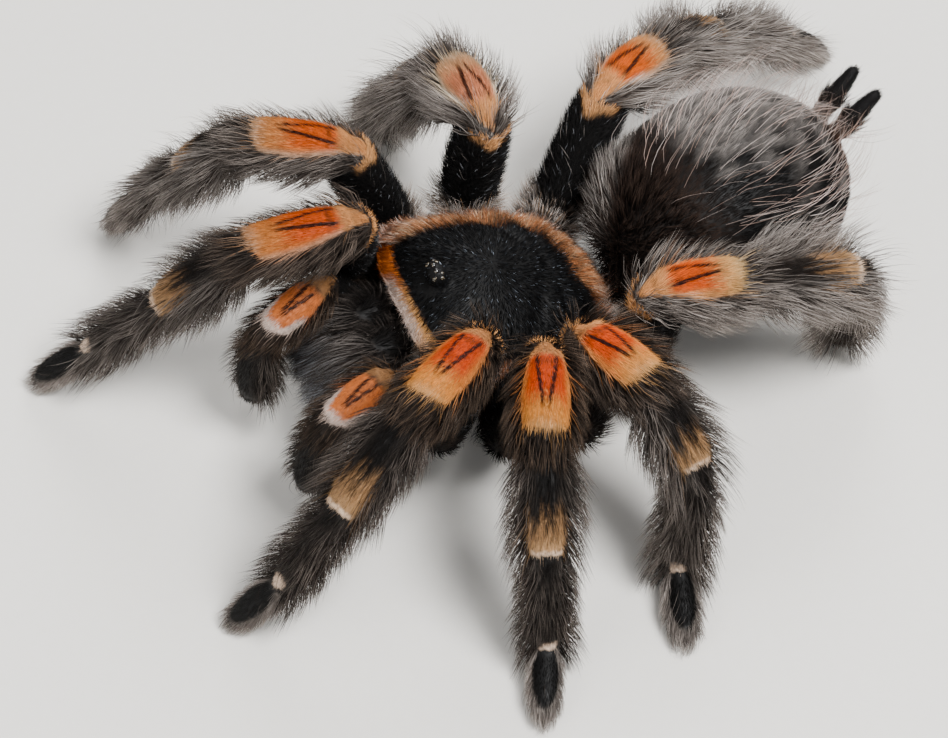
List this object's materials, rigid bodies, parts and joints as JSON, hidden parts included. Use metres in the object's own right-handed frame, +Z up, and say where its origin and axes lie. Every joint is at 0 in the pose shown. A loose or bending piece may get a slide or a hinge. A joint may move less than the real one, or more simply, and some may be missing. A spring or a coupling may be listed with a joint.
{
  "type": "tarantula",
  "caption": "Life-size museum model of a red-knee tarantula, standing still with its knees held high.",
  "frame": {"origin": "on the floor, under the middle of the bounding box", "axes": "+Z up, the spider faces -Y and its left side is +X"},
  "size_m": [0.0706, 0.0844, 0.0245],
  "materials": {
    "leg_coat": "soft hair, black to smoky brown with orange and cream knees",
    "abdomen_coat": "black velvet with long pale hairs",
    "carapace_coat": "short black hair with an orange-brown fringe",
    "body_skin": "matt dark cuticle under short hair",
    "horn": "polished black horn",
    "eyes": "glossy dark domes"
  },
  "bodies": {
    "root": {"abdomen": "abdomen_coat", "carapace": "carapace_coat", "eye_tubercle": "eyes", "left_chelicera": "body_skin", "left_fang": "horn", "left_leg1_femur": "leg_coat", "left_leg1_metatarsus": "leg_coat", "left_leg1_patella": "leg_coat", "left_leg1_tarsus": "leg_coat", "left_leg1_tibia": "leg_coat", "left_leg2_femur": "leg_coat", "left_leg2_metatarsus": "leg_coat", "left_leg2_patella": "leg_coat", "left_leg2_tarsus": "leg_coat", "left_leg2_tibia": "leg_coat", "left_leg3_femur": "leg_coat", "left_leg3_metatarsus": "leg_coat", "left_leg3_patella": "leg_coat", "left_leg3_tarsus": "leg_coat", "left_leg3_tibia": "leg_coat", "left_leg4_femur": "leg_coat", "left_leg4_metatarsus": "leg_coat", "left_leg4_patella": "leg_coat", "left_leg4_tarsus": "leg_coat", "left_leg4_tibia": "leg_coat", "left_palp_femur": "leg_coat", "left_palp_patella": "leg_coat", "left_palp_tarsus": "leg_coat", "left_palp_tibia": "leg_coat", "left_spinneret": "abdomen_coat", "pedicel": "body_skin", "right_chelicera": "body_skin", "right_fang": "horn", "right_leg1_femur": "leg_coat", "right_leg1_metatarsus": "leg_coat", "right_leg1_patella": "leg_coat", "right_leg1_tarsus": "leg_coat", "right_leg1_tibia": "leg_coat", "right_leg2_femur": "leg_coat", "right_leg2_metatarsus": "leg_coat", "right_leg2_patella": "leg_coat", "right_leg2_tarsus": "leg_coat", "right_leg2_tibia": "leg_coat", "right_leg3_femur": "leg_coat", "right_leg3_metatarsus": "leg_coat", "right_leg3_patella": "leg_coat", "right_leg3_tarsus": "leg_coat", "right_leg3_tibia": "leg_coat", "right_leg4_femur": "leg_coat", "right_leg4_metatarsus": "leg_coat", "right_leg4_patella": "leg_coat", "right_leg4_tarsus": "leg_coat", "right_leg4_tibia": "leg_coat", "right_palp_femur": "leg_coat", "right_palp_patella": "leg_coat", "right_palp_tarsus": "leg_coat", "right_palp_tibia": "leg_coat", "right_spinneret": "abdomen_coat", "sternum": "body_skin"}
  },
  "joints": []
}
